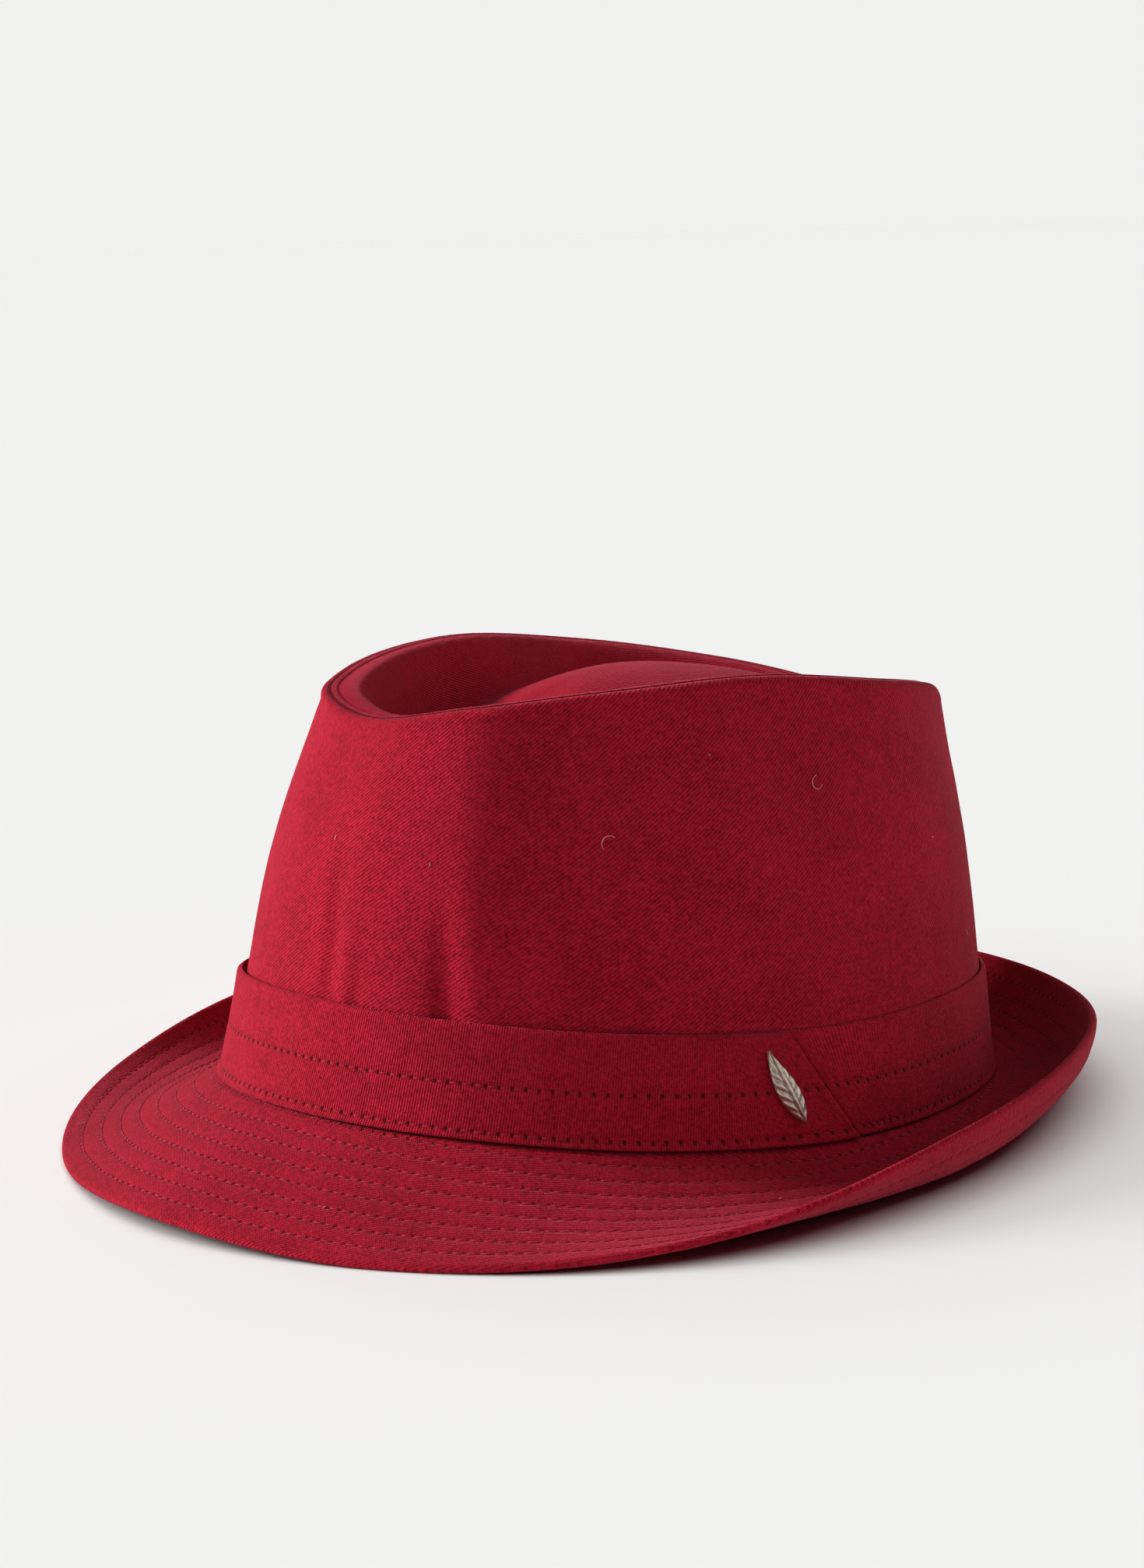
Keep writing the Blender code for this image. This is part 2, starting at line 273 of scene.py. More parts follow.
def give_thickness(sheet, thickness):
    """Give an open cloth surface its thickness on the side away from its faces."""
    skin = sheet.modifiers.new("thickness", "SOLIDIFY")
    skin.thickness = thickness
    skin.offset = -1.0
    skin.use_even_offset = True
    skin.use_quality_normals = True


def add_node(tree, kind, inputs, **settings):
    """One shader node with its settings, and its inputs set to a value or joined to an output."""
    made = tree.nodes.new("ShaderNode" + kind)
    for key, value in settings.items():
        setattr(made, key, value)
    for key, value in inputs.items():
        if isinstance(value, bpy.types.NodeSocket):
            tree.links.new(value, made.inputs[key])
        else:
            made.inputs[key].default_value = value
    return made


def reckon(tree, operation, first, second=0.0, third=0.0):
    """The output of one Math node."""
    return add_node(tree, "Math", {0: first, 1: second, 2: third}, operation=operation).outputs[0]


def ramp(tree, value, low, high, to_low=0.0, to_high=1.0):
    """A value stretched from low..high to another range, and held inside it."""
    inputs = {0: value, 1: low, 2: high, 3: to_low, 4: to_high}
    return add_node(tree, "MapRange", inputs).outputs[0]


def blend_dye(tree, share, first, second):
    """A mix of two dye colours."""
    dyes = {0: share, 6: first, 7: second}
    return add_node(tree, "Mix", dyes, data_type="RGBA").outputs[2]


# Twill is woven with slanting ridges 0.72 mm apart, crossed by the filling threads, and is painted
# darker in the valleys between them as painted shade. Its dye is uneven in patches, blotches,
# brushed fuzz and pale flecks, all given by their millimetres apart.
RIDGE_APART = 0.72
THREAD_APART = 0.40
PATCH_APART = 24.0
BLOTCH_APART = 3.2
FUZZ_APART = 0.95
FLECK_APART = 0.8
FUZZ_RAISE = 2.4
RIDGE_SHARE = 0.65
TONE_RANGE = (0.57, 1.08)
FLECK_RANGE = (0.76, 0.84, 0.0, 0.40)
SHEEN = 0.36
WAVE_AT_SCALE_1 = pi / 10.0
NAP_HEIGHT = 0.18 * MM
DEEP_RED = (0.165, 0.0014, 0.008, 1.0)
CLEAR_RED = (0.52, 0.01, 0.0345, 1.0)
LINT_PINK = (0.55, 0.13, 0.17, 1.0)
SHEEN_RED = (1.0, 0.23, 0.32, 1.0)
# The colour of painted shade, for the needle holes and the seam's ditch.
PAINTED_SHADE_RED = (0.03, 0.0008, 0.002, 1.0)


def mix_paint(name, values):
    """A new paint, its node tree and its surface, with the surface's plain values set."""
    paint = bpy.data.materials.new(name)
    paint.use_nodes = True
    surface = paint.node_tree.nodes["Principled BSDF"]
    for key, value in values.items():
        surface.inputs[key].default_value = value
    return paint, paint.node_tree, surface


def cloth_pattern(tree, slant):
    """The flat pattern's place in millimetres, turned so that the twill's ridges run along Y."""
    flat = add_node(tree, "UVMap", {}, uv_map="cloth").outputs["UV"]
    turned = {"Vector": flat, "Rotation": (0.0, 0.0, radians(slant))}
    return flat, add_node(tree, "Mapping", turned).outputs["Vector"]


def speckle(tree, place, apart, detail=2.0, roughness=0.5):
    """Noise with features about that many millimetres apart."""
    inputs = {"Vector": place, "Scale": 1.0 / apart, "Detail": detail, "Roughness": roughness}
    return add_node(tree, "TexNoise", inputs).outputs["Fac"]


def threads(tree, place, apart, direction, wander):
    """Even ridges that many millimetres apart, with a little wander."""
    inputs = {"Vector": place, "Scale": WAVE_AT_SCALE_1 / apart, "Distortion": wander}
    inputs.update({"Detail": 2.0, "Detail Scale": 0.35, "Detail Roughness": 0.6})
    wave = add_node(tree, "TexWave", inputs, wave_type="BANDS", bands_direction=direction)
    return wave.outputs["Fac"]


def red_twill(
    name, slant, ridge_apart=RIDGE_APART, holes=None, hole_shade=0.0, shade=0.0, rib=0.34
):
    """Dark red brushed cotton twill, with painted shade in the needle holes that the piece's own
    function works out.
    hole_shade and shade paint shade into the holes and over the whole cloth; rib sets the painted
    shade in the twill's valleys, which makes the twill plainer."""
    values = {"Roughness": 0.92, "Specular IOR Level": 0.11, "Sheen Weight": SHEEN * (1.0 - shade)}
    values.update({"Sheen Roughness": 0.21, "Sheen Tint": SHEEN_RED})
    paint, tree, surface = mix_paint(name, values)
    flat, place = cloth_pattern(tree, slant)
    ridge = threads(tree, place, ridge_apart, "X", 1.1)
    thread = threads(tree, place, THREAD_APART, "Y", 1.6)
    patchy = speckle(tree, flat, PATCH_APART, 4.0, 0.55)
    blotch = speckle(tree, flat, BLOTCH_APART, 3.0, 0.6)
    fuzz = speckle(tree, flat, FUZZ_APART, 3.0, 0.75)
    ridge = reckon(tree, "MULTIPLY", ridge, RIDGE_SHARE)
    weave = reckon(tree, "MULTIPLY_ADD", thread, 1.0 - RIDGE_SHARE, ridge)
    height = reckon(tree, "MULTIPLY_ADD", fuzz, FUZZ_RAISE, weave)
    # Painted shade: the weave's valleys are coloured darker than its ridges.
    tone = reckon(tree, "MULTIPLY_ADD", reckon(tree, "SUBTRACT", weave, 0.5), rib, fuzz)
    tone = reckon(tree, "MULTIPLY_ADD", patchy, 0.30, tone)
    tone = reckon(tree, "MULTIPLY_ADD", blotch, 0.35, tone)
    colour = blend_dye(tree, ramp(tree, tone, *TONE_RANGE), DEEP_RED, CLEAR_RED)
    fleck = ramp(tree, speckle(tree, flat, FLECK_APART), *FLECK_RANGE)
    colour = blend_dye(tree, fleck, colour, LINT_PINK)
    # Painted shade over the whole cloth, for a cord that lies in the seam's shaded ditch.
    if shade:
        colour = blend_dye(tree, shade, colour, PAINTED_SHADE_RED)
    # Painted shade in the needle holes.
    if holes:
        hole, groove = holes(tree)
        colour = blend_dye(tree, reckon(tree, "MULTIPLY", hole, hole_shade), colour, PAINTED_SHADE_RED)
        height = reckon(tree, "SUBTRACT", height, groove)
    tree.links.new(colour, surface.inputs["Base Color"])
    bump = add_node(tree, "Bump", {"Height": height, "Distance": NAP_HEIGHT, "Strength": 0.9})
    tree.links.new(bump.outputs["Normal"], surface.inputs["Normal"])
    return paint


def girth(row):
    """Distances in millimetres along a closed row of points, from its first point back to it."""
    lengths = [0.0]
    for first, second in zip(row, row[1:] + row[:1]):
        lengths.append(lengths[-1] + (second - first).length / MM)
    return lengths


def crown_side_rows():
    """The crown side's rows of points from its foot to the end of its lip."""
    rows = [[] for _ in range(WALL_ROWS + SHOULDER_ROWS + 2)]
    for degrees in round_hat(AROUND):
        for step in range(WALL_ROWS + 1):
            share = step / WALL_ROWS
            outward, height = folded_wall(degrees, share)
            outward -= press(CREASES, degrees, share)
            wide = SWAY_WIDE_DEPTH * sin(pi * share)
            outward += sway(degrees, outward, height, wide, SWAY_FINE_DEPTH)
            rows[step].append(seat(degrees, outward, height))
        for step in range(1, SHOULDER_ROWS + 1):
            part = step / SHOULDER_ROWS
            outward, height = shoulder_roll(degrees, part)
            outward -= press(CREASES, degrees, 1.0) * cos(0.5 * pi * part) ** 2
            height += sway(degrees, outward, height, 0.0, SWAY_FINE_DEPTH)
            rows[WALL_ROWS + step].append(seat(degrees, outward, height))
        outward, height = shoulder_roll(degrees, 1.0)
        rows[-1].append(seat(degrees, outward - SEAM_LIP, height))
    return rows


side_rows = crown_side_rows()
strip = girth(side_rows[len(side_rows) // 2])
side_flat = []
for row in side_rows:
    rises = [(point - foot).length / MM for point, foot in zip(row, side_rows[0])]
    side_flat.append(list(zip(strip, rises + rises[:1])))
crown_side = weave_sheet("crown_side_cloth", side_rows, side_flat)
give_thickness(crown_side, CLOTH_THICK)
crown_side.data.materials.append(red_twill("crown side twill", 52.0))
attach(crown_side, "root")
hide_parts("crown_side")

# Crown tip. The top panel of the same twill, cut as an egg and sewn inside the lip. It is pressed
# down in front, so that a groove runs all round a raised teardrop mound.
TIP_ROWS = 60
TIP_AROUND = 400
SEAM_FLAT = 2.6 * MM
GROOVE_AT = 0.30
EDGE_ROUND = 2.2
DENT_DEPTH = 26.0 * MM
SPINE_MIDDLE = 12.0 * MM
SPINE_HALF = 44.0 * MM
DOME_POWER = 2.2
DOME_SHARE = 0.65
DOME_EASE = 0.80
FRONT_MARGIN = 3.2 * MM
FRONT_ROUND = 0.9
FRONT_TURN = 14.0
CREST_ROW = 36
CREST_BLEND = 10
CREST_STEP = 3
CREST_EVEN = 3.6 * MM
PUCKER_REACH = 0.10
PUCKER_DEPTH = 0.35 * MM
PUCKER_APART = 4.6


def tip_surface(degrees, share):
    """The tip's upper face from its seam edge (0) to the crest of the mound (1), before leaning."""
    outward, height = shoulder_roll(degrees, 1.0)
    front = max(cos(radians(degrees + FRONT_TURN)), 0.0) ** 3
    margin = SEAM_FLAT + FRONT_MARGIN * front
    rim = off_head(degrees, outward - SEAM_LIP - SEW_GAP - margin, height)
    along = SPINE_MIDDLE - SPINE_HALF * cos(radians(degrees))
    spine = Vector((0.0, along, section("crest", degrees) * CROWN_HEIGHT))
    dent = section("dent", degrees) * DENT_DEPTH
    point = rim.lerp(spine, share)
    if share < GROOVE_AT:
        round_edge = EDGE_ROUND + FRONT_ROUND * front
        point.z = rim.z - dent * sin(0.5 * pi * share / GROOVE_AT) ** round_edge
    else:
        part = (share - GROOVE_AT) / (1.0 - GROOVE_AT)
        lengthwise = abs(cos(radians(degrees)))
        rounded = 0.5 - 0.5 * cos(pi * part)
        dome = 1.0 - (1.0 - part) ** DOME_POWER
        across = rounded + DOME_SHARE * (dome - rounded)
        rise = across + DOME_EASE * lengthwise * (rounded - across)
        point.z = rim.z - dent + (spine.z - rim.z + dent) * rise
    return point


def tip_rows():
    """The tip's rows of points from its hidden seam edge to the crest, with puckers by the seam."""
    rows = []
    edge = []
    for degrees in round_hat(TIP_AROUND):
        outward, height = shoulder_roll(degrees, 1.0)
        edge.append(seat(degrees, outward - SEAM_LIP - SEW_GAP, height))
    rows.append(edge)
    for step in range(TIP_ROWS + 1):
        share = step / TIP_ROWS
        row = []
        for degrees in round_hat(TIP_AROUND):
            point = tip_surface(degrees, share)
            loose = 0.35 + 0.65 * noise.noise(Vector((degrees / 17.0, 3.0, 0.0)))
            pucker = sin(2.0 * pi * degrees / PUCKER_APART) * exp(-((share / PUCKER_REACH) ** 2))
            away = min(share * 10.0, 1.0) * sin(pi * min(share, 0.999))
            wander = noise.noise(point / SWAY_WIDE) * SWAY_WIDE_DEPTH * away
            wander += noise.noise(point / SWAY_FINE) * SWAY_FINE_DEPTH * away
            point.z += loose * pucker * PUCKER_DEPTH * min(share * 30.0, 1.0) + wander
            row.append(lean_back(point) + to_middle)
        rows.append(row)
    for at in range(1, TIP_AROUND // 2):
        rows[-1][TIP_AROUND - at] = rows[-1][at]
    return rows


def lay_out(rows):
    """The tip's flat pattern in millimetres, each line from the crest out laid at its length."""
    laid = [(point.x / MM, point.y / MM) for point in rows[-1]]
    flat = [laid + laid[:1]]
    for at in range(len(rows) - 2, -1, -1):
        steps = [far - near for far, near in zip(rows[at], rows[at + 1])]
        reaches = [step.length / MM / max(step.xy.length, 0.001 * MM) for step in steps]
        lines = zip(laid, steps, reaches)
        laid = [(x + step.x * reach, y + step.y * reach) for (x, y), step, reach in lines]
        flat.insert(0, laid + laid[:1])
    return flat


def ease_crest(rows):
    """Evens the heights round the crest, so that the tip's two halves meet without a fold."""
    spots = []
    for row in rows[CREST_ROW - CREST_BLEND:-1]:
        for at in range(0, TIP_AROUND, CREST_STEP):
            width = (row[(at + 1) % TIP_AROUND] - row[at - 1]).xy.length
            spots.append((row[at].copy(), width))
    near = kdtree.KDTree(len(spots))
    for number, (spot, _) in enumerate(spots):
        near.insert((spot.x, spot.y, 0.0), number)
    near.balance()
    for number in range(CREST_ROW, len(rows)):
        share = min((number - CREST_ROW) / CREST_BLEND, 1.0)
        for point in rows[number]:
            total = 0.0
            level = 0.0
            for _, spot, away in near.find_range((point.x, point.y, 0.0), 2.0 * CREST_EVEN):
                weight = spots[spot][1] * exp(-((away / CREST_EVEN) ** 2))
                total += weight
                level += weight * spots[spot][0].z
            point.z += share * share * (3.0 - 2.0 * share) * (level / total - point.z)


tip_points = tip_rows()
ease_crest(tip_points)
crown_tip = weave_sheet("crown_tip_cloth", tip_points, lay_out(tip_points), closed_spine=True)
give_thickness(crown_tip, CLOTH_THICK)
crown_tip.data.materials.append(red_twill("crown tip twill", 20.0, rib=1.0))
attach(crown_tip, "root")
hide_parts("crown_tip")

# Tip seam. The crown side's edge is turned and sewn to the tip along one fine line, a thin cord
# painted dark as painted shade of the seam's ditch. The tip's eased edge puffs up behind that line
# as a thin soft welt, slightly puckered in front.
WELT_AROUND = 1200
WELT_SIDES = 10
WELT_HALF_WIDTH = 1.20 * MM
WELT_HALF_HEIGHT = 0.42 * MM
WELT_SINK = 0.16 * MM
WELT_INWARD = 0.95 * MM
DITCH_HALF = 0.32 * MM
DITCH_SINK = 0.10 * MM
SEAM_PUCKER = 0.12 * MM
PUCKER_TOWARD = 12.0


def seam_cord(name, half_width, half_height, sink, inward, shade):
    """A flattened cord of cloth along the tip seam, that far inward of it and sunk that deep; shade
    paints shade over its colour.
    """
    rings = []
    for degrees in round_hat(WELT_AROUND):
        outward, height = shoulder_roll(degrees, 1.0)
        middle = outward - SEAM_LIP - 0.5 * SEW_GAP - inward
        eased = 0.4 + 0.6 * max(cos(radians(degrees - PUCKER_TOWARD)), 0.0)
        uneven = eased * SEAM_PUCKER * noise.noise(Vector((degrees * 0.9, 0.0, 5.0)))
        ring = []
        for side in range(WELT_SIDES):
            turn = 2.0 * pi * side / WELT_SIDES
            across = half_width * cos(turn) + uneven
            up = half_height * sin(turn) - sink + uneven
            ring.append(seat(degrees, middle + across, height + up))
        rings.append(ring)
    rows = [[ring[side] for ring in rings] for side in range(WELT_SIDES)]
    length = girth(rows[0])
    flat = [[(along, side * 0.5) for along in length] for side in range(WELT_SIDES + 1)]
    cord = weave_sheet(name, rows, flat, closed_section=True)
    cord.data.materials.append(red_twill(name.replace("_", " ") + " twill", 35.0, shade=shade))
    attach(cord, "root")


seam_cord("tip_welt", WELT_HALF_WIDTH, WELT_HALF_HEIGHT, WELT_SINK, WELT_INWARD, 0.0)
# The seam line's cord is painted dark: painted shade of the ditch along the seam.
seam_cord("seam_shade_line", DITCH_HALF, DITCH_HALF, DITCH_SINK, 0.0, 0.70)

# Brim. Two layers of twill with stiffening between, 2 mm thick, turned at the edge and quilted
# with close rows of stitching. It dips in front and is snapped up at the sides and back.
BRIM_WIDTH = 44.0 * MM
BRIM_CURL = 1.2
ROOT_FLAT = 3.6 * MM
BRIM_PARTS = 58
EDGE_PARTS = 7
BRIM_AROUND = 600
ROW_APART = 5.0 * MM
FIRST_ROW_IN = 4.6 * MM
ROW_COUNT = 8
ROW_DIP = 0.14 * MM
ROW_HALF_WIDTH = 0.75 * MM
STITCH_LENGTH = 3.1
QUILT_PUFF = 0.08 * MM
PUFF_APART = 6.0 * MM
PLAIN_UNDER = 2
PLAIN_ON_TOP = 4


def brim_stations(degrees):
    """The brim's underside: distance out, height, slope, and millimetres left to the edge."""
    root = section("root", degrees) * CROWN_HEIGHT
    width = section("brim", degrees) * BRIM_WIDTH - 0.5 * BRIM_THICK
    start = radians(section("root_slope", degrees))
    end = radians(section("edge_slope", degrees))
    outward = -CLOTH_THICK - 2.0 * SEW_GAP
    stations = [(outward, root, 0.0, (width + ROOT_FLAT) / MM)]
    outward += ROOT_FLAT
    height = root
    stations.append((outward, height, 0.3 * start, width / MM))
    for part in range(BRIM_PARTS):
        share = (part + 0.5) / BRIM_PARTS
        slope = start + (end - start) * share ** BRIM_CURL
        outward += cos(slope) * width / BRIM_PARTS
        height += sin(slope) * width / BRIM_PARTS
        done = (part + 1.0) / BRIM_PARTS
        ahead = start + (end - start) * done ** BRIM_CURL
        left = width * (1.0 - done)
        stations.append((outward, height, ahead, left / MM))
    return stations


def nearest_row(left):
    """The stitch row nearest to a number of millimetres from the edge, and how far off it is."""
    place = (left * MM - FIRST_ROW_IN) / ROW_APART
    nearest = min(max(round(place), 0), ROW_COUNT - 1)
    return nearest, (place - nearest) * ROW_APART


def row_dip(left):
    """How far the stitch rows pull the cloth in, at a number of millimetres from the edge."""
    off = nearest_row(left)[1]
    return ROW_DIP * exp(-((off / ROW_HALF_WIDTH) ** 2)) if left > 1.0 else 0.0


def quilt_puff(degrees, outward, height):
    """How far the cloth puffs up between its rows of stitches."""
    return QUILT_PUFF * noise.noise(off_head(degrees, outward, height) / PUFF_APART)


def brim_loop(degrees):
    """The brim's section at one angle: underside out to the rounded edge, and back on top."""
    stations = brim_stations(degrees)
    loop = []
    for number, (outward, height, slope, left) in enumerate(stations):
        push = 0.0
        if number > PLAIN_UNDER:
            push = quilt_puff(degrees, outward, height) - row_dip(left) * 0.6
        loop.append((outward + sin(slope) * push, height - cos(slope) * push, left))
    outward, height, slope, _ = stations[-1]
    half = 0.5 * BRIM_THICK
    middle_out = outward - sin(slope) * half
    middle_up = height + cos(slope) * half
    for part in range(1, EDGE_PARTS):
        turn = slope - 0.5 * pi + pi * part / EDGE_PARTS
        fold = pi * half * min(part, EDGE_PARTS - part) / EDGE_PARTS
        loop.append((middle_out + cos(turn) * half, middle_up + sin(turn) * half, -fold / MM))
    for number, (outward, height, slope, left) in reversed(list(enumerate(stations))):
        push = BRIM_THICK
        if number > PLAIN_ON_TOP:
            push = BRIM_THICK - row_dip(left) + quilt_puff(degrees, outward, height + 0.1)
        loop.append((outward - sin(slope) * push, height + cos(slope) * push, left))
    return loop


def brim_points():
    """The brim's rows of points round the hat, closed into one loop, and their flat pattern."""
    loops = [brim_loop(degrees) for degrees in round_hat(BRIM_AROUND)]
    rows = []
    flat = []
    for place in range(len(loops[0])):
        row = []
        lying = []
        for degrees, loop in zip(round_hat(BRIM_AROUND), loops):
            outward, height, left = loop[place]
            row.append(seat(degrees, outward, height))
            x, y, out_x, out_y = head_line(degrees)
            reach = section("brim", degrees) * BRIM_WIDTH / MM - left
            lying.append((x / MM + out_x * reach, y / MM + out_y * reach))
        rows.append(row)
        flat.append(lying + lying[:1])
    flat.append(flat[0])
    return rows, flat, loops


brim_rows, brim_flat, brim_loops = brim_points()
brim = weave_sheet("brim_cloth", brim_rows, brim_flat, closed_section=True)


HALF_ROUND_STITCHES = 40.0


def seam_uv(sheet, name, values):
    """A second pattern on a sheet: stitches along, and millimetres from the nearest row."""
    mesh = sheet.data
    pattern = mesh.uv_layers.new(name=name)
    numbers = []
    for face in mesh.polygons:
        corners = [values[vertex] for vertex in face.vertices]
        first = corners[0][0]
        for along, off in corners:
            numbers += [along, off]
        if max(abs(along - first) for along, _ in corners) > HALF_ROUND_STITCHES:
            shift = max(along for along, _ in corners)
            for corner in range(4):
                if numbers[-8 + 2 * corner] < 0.5 * shift:
                    numbers[-8 + 2 * corner] += round(shift + 0.5)
    pattern.data.foreach_set("uv", numbers)


def ring_stitches(row):
    """How many stitches row number `row` of the brim has, from its length at the widest."""
    out = BRIM_WIDTH * 0.9 - FIRST_ROW_IN - row * ROW_APART
    around = 2.0 * pi * (0.5 * (HEAD_HALF_WIDTH + HEAD_HALF_LENGTH) + out)
    return round(around / MM / STITCH_LENGTH)


brim_marks = []
for place in range(len(brim_rows)):
    for degrees, loop in zip(round_hat(BRIM_AROUND), brim_loops):
        nearest, off = nearest_row(loop[place][2])
        marked = min(abs(off) / MM, 2.5)
        brim_marks.append((degrees / 360.0 * ring_stitches(nearest), marked))
seam_uv(brim, "rows", brim_marks)


def needle_holes(tree):
    """Where the needle holes at each stitch's ends get painted shade, and the groove that the row
    of stitches pulls.
    """
    rows = add_node(tree, "UVMap", {}, uv_map="rows").outputs["UV"]
    parts = add_node(tree, "SeparateXYZ", {0: rows})
    phase = reckon(tree, "FRACT", parts.outputs[0])
    middle = reckon(tree, "ABSOLUTE", reckon(tree, "SUBTRACT", phase, 0.5))
    end = ramp(tree, middle, 0.33, 0.42)
    near = ramp(tree, parts.outputs[1], 0.30, 0.58, 1.0, 0.0)
    hole = reckon(tree, "MULTIPLY", end, near)
    groove = ramp(tree, parts.outputs[1], 0.2, 1.1, 0.8, 0.0)
    deep = reckon(tree, "MULTIPLY_ADD", hole, 1.8, groove)
    return hole, deep


# The brim's needle holes get painted shade.
brim.data.materials.append(red_twill("brim twill", 38.0, holes=needle_holes, hole_shade=0.55))
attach(brim, "root")
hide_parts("brim")

# Brim stitching. Rows of matching red lockstitch, 3 mm long, that run round the brim 5 mm apart.
# Each stitch lies in the groove it pulls and dives into a needle hole at both ends.
THREAD_HALF = 0.16 * MM
STITCH_SIDES = 6
STITCH_RINGS = 4
STITCH_SHARE = 0.66
STITCH_UNEVEN = 0.35
THREAD_UNEVEN = 2.2 * MM
THREAD_GLOSS = {
    "Roughness": 0.65,
    "Specular IOR Level": 0.15,
    "Sheen Weight": 0.12,
    "Sheen Tint": SHEEN_RED,
}
TOP_PARTS = 24
ROOT_CLEAR = 1.5 * MM


def add_ring(points, middle, side, up, wide, tall, count):
    """One oval ring of points round a middle."""
    for number in range(count):
        turn = 2.0 * pi * number / count
        points.append(middle + side * (wide * cos(turn)) + up * (tall * sin(turn)))


def skin_rings(faces, base, rings, count, turned=False):
    """Faces over rings of points and over both ends; turned is for rings that run the other way."""
    for ring in range(rings - 1):
        low = base + ring * count
        high = low + count
        for at in range(count):
            after = (at + 1) % count
            corners = (low + at, low + after, high + after, high + at)
            faces.append(corners[:1] + corners[:0:-1] if turned else corners)
    first = tuple(range(base, base + count))
    top = base + (rings - 1) * count
    last = tuple(range(top, top + count))
    faces += [first, last[::-1]] if turned else [first[::-1], last]


def add_stitch(points, faces, start, end, up):
    """One arched stitch between two places, with its ends sunk."""
    along = end - start
    side = along.cross(up).normalized()
    base = len(points)
    for ring in range(STITCH_RINGS):
        share = ring / (STITCH_RINGS - 1)
        arch = sin(pi * (0.12 + 0.76 * share))
        middle = start + along * share + up * (THREAD_HALF * (1.5 * arch - 0.9))
        half = THREAD_HALF * (0.55 + 0.45 * arch)
        add_ring(points, middle, side, up, half * 1.15, half, STITCH_SIDES)
    skin_rings(faces, base, STITCH_RINGS, STITCH_SIDES)


def cotton_fibre(name, apart, dark, pale, values):
    """Loose or spun cotton in two uneven shades, with its plain values given."""
    paint, tree, surface = mix_paint(name, values)
    place = add_node(tree, "TexCoord", {}).outputs["Object"]
    colour = blend_dye(tree, speckle(tree, place, apart), dark, pale)
    tree.links.new(colour, surface.inputs["Base Color"])
    return paint


def stitch_piece(name, points, faces, thread, slot):
    """One piece from all the stitches of a seam, or from all the fibres."""
    seam = add_object(name, points, faces)
    seam.data.materials.append(thread)
    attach(seam, "root")


def brim_top(degrees, left):
    """A place on the brim's upper face, some millimetres from the edge, and the way up there."""
    width = section("brim", degrees) * BRIM_WIDTH - 0.5 * BRIM_THICK
    share = 1.0 - left * MM / width
    start = radians(section("root_slope", degrees))
    end = radians(section("edge_slope", degrees))
    outward = ROOT_FLAT - CLOTH_THICK - 2.0 * SEW_GAP
    height = section("root", degrees) * CROWN_HEIGHT
    for part in range(TOP_PARTS):
        slope = start + (end - start) * (share * (part + 0.5) / TOP_PARTS) ** BRIM_CURL
        outward += cos(slope) * width * share / TOP_PARTS
        height += sin(slope) * width * share / TOP_PARTS
    slope = start + (end - start) * share ** BRIM_CURL
    rise = BRIM_THICK - ROW_DIP
    here = seat(degrees, outward - sin(slope) * rise, height + cos(slope) * rise)
    above = seat(degrees, outward - sin(slope) * 2.0 * rise, height + cos(slope) * 2.0 * rise)
    return here, (above - here).normalized()


def sew_brim():
    """Every stitch of the brim's rows on its upper face."""
    points = []
    faces = []
    for row in range(ROW_COUNT):
        left = (FIRST_ROW_IN + row * ROW_APART) / MM
        count = ring_stitches(row)
        for number in range(count):
            middle = 360.0 * (number + 0.5) / count
            if section("brim", middle) * BRIM_WIDTH - left * MM < ROOT_CLEAR:
                continue
            uneven = noise.noise(Vector((middle * 3.1, row * 7.0, 2.0)))
            reach = 180.0 * STITCH_SHARE / count * (1.0 + STITCH_UNEVEN * uneven)
            start, up = brim_top(middle - reach, left)
            end, _ = brim_top(middle + reach, left)
            add_stitch(points, faces, start, end, up)
    return points, faces


BRIM_REDS = ((0.22, 0.007, 0.016, 1.0), (0.44, 0.028, 0.052, 1.0))
brim_thread = cotton_fibre("brim thread", THREAD_UNEVEN, *BRIM_REDS, THREAD_GLOSS)
stitch_piece("brim_stitches", *sew_brim(), brim_thread, "brim_twill")

# Band. A 25 mm strip of the same twill, folded double, laid round the crown's foot with its ribs
# upright. Its left end laps over the other on a slant, and its lower edge stands proud.
BAND_HEIGHT = 25.0 * MM
BAND_THICK = 1.2 * MM
LAP_RAISE = 0.9 * MM
LAP_AT = 85.0
LAP_LENGTH = 34.0
LAP_SLANT = 9.0
BAND_ROWS = (0.47, 0.066)
BAND_ROW_DIP = 0.22 * MM
BAND_ROW_HALF = 0.6 * MM
BAND_AROUND = 520
BAND_FACE_ROWS = 40
LAP_COLUMNS = (-1.1, -0.7, -0.45, -0.3, -0.2, -0.1, 0.0, 0.1, 0.25, 0.4, 0.55)
LAP_CREASE = 0.35 * MM
LAP_RIDGE = 0.18 * MM
LAP_ROUND = 0.45
PROUD_EDGE = 0.45
PROUD_REACH = 1.3 * MM
TOP_FOLD = 0.9 * MM
BAND_RIPPLE = 0.06 * MM


def on_band(degrees, height, raised):
    """A place off the crown side within the band's height, with the lap's slant."""
    close = exp(-(((degrees - LAP_AT) / LAP_SLANT) ** 2))
    turned = degrees + LAP_SLANT * (0.5 - height) * close
    top = section("rim", turned) * CROWN_HEIGHT - section("shoulder", turned) * SHOULDER
    share = BAND_HEIGHT * height / (top - wall_foot(turned))
    outward, up = smooth_wall(turned, share)
    return turned, outward + SEW_GAP + raised, up


def lap_raise(degrees):
    """How far the lapped end lifts the band's face, with a rounded folded edge."""
    before = LAP_AT - degrees
    if before <= 0.0:
        return -LAP_CREASE * exp(-(((before + 0.2) / 0.3) ** 2))
    rounded = min(before / LAP_ROUND, 1.0)
    ridge = LAP_RIDGE * exp(-(((before - 0.7) / 0.5) ** 2))
    rise = LAP_RAISE * max((degrees - LAP_AT + LAP_LENGTH) / LAP_LENGTH, 0.0)
    return (rise + ridge) * (1.0 - (1.0 - rounded) ** 2) ** 0.5


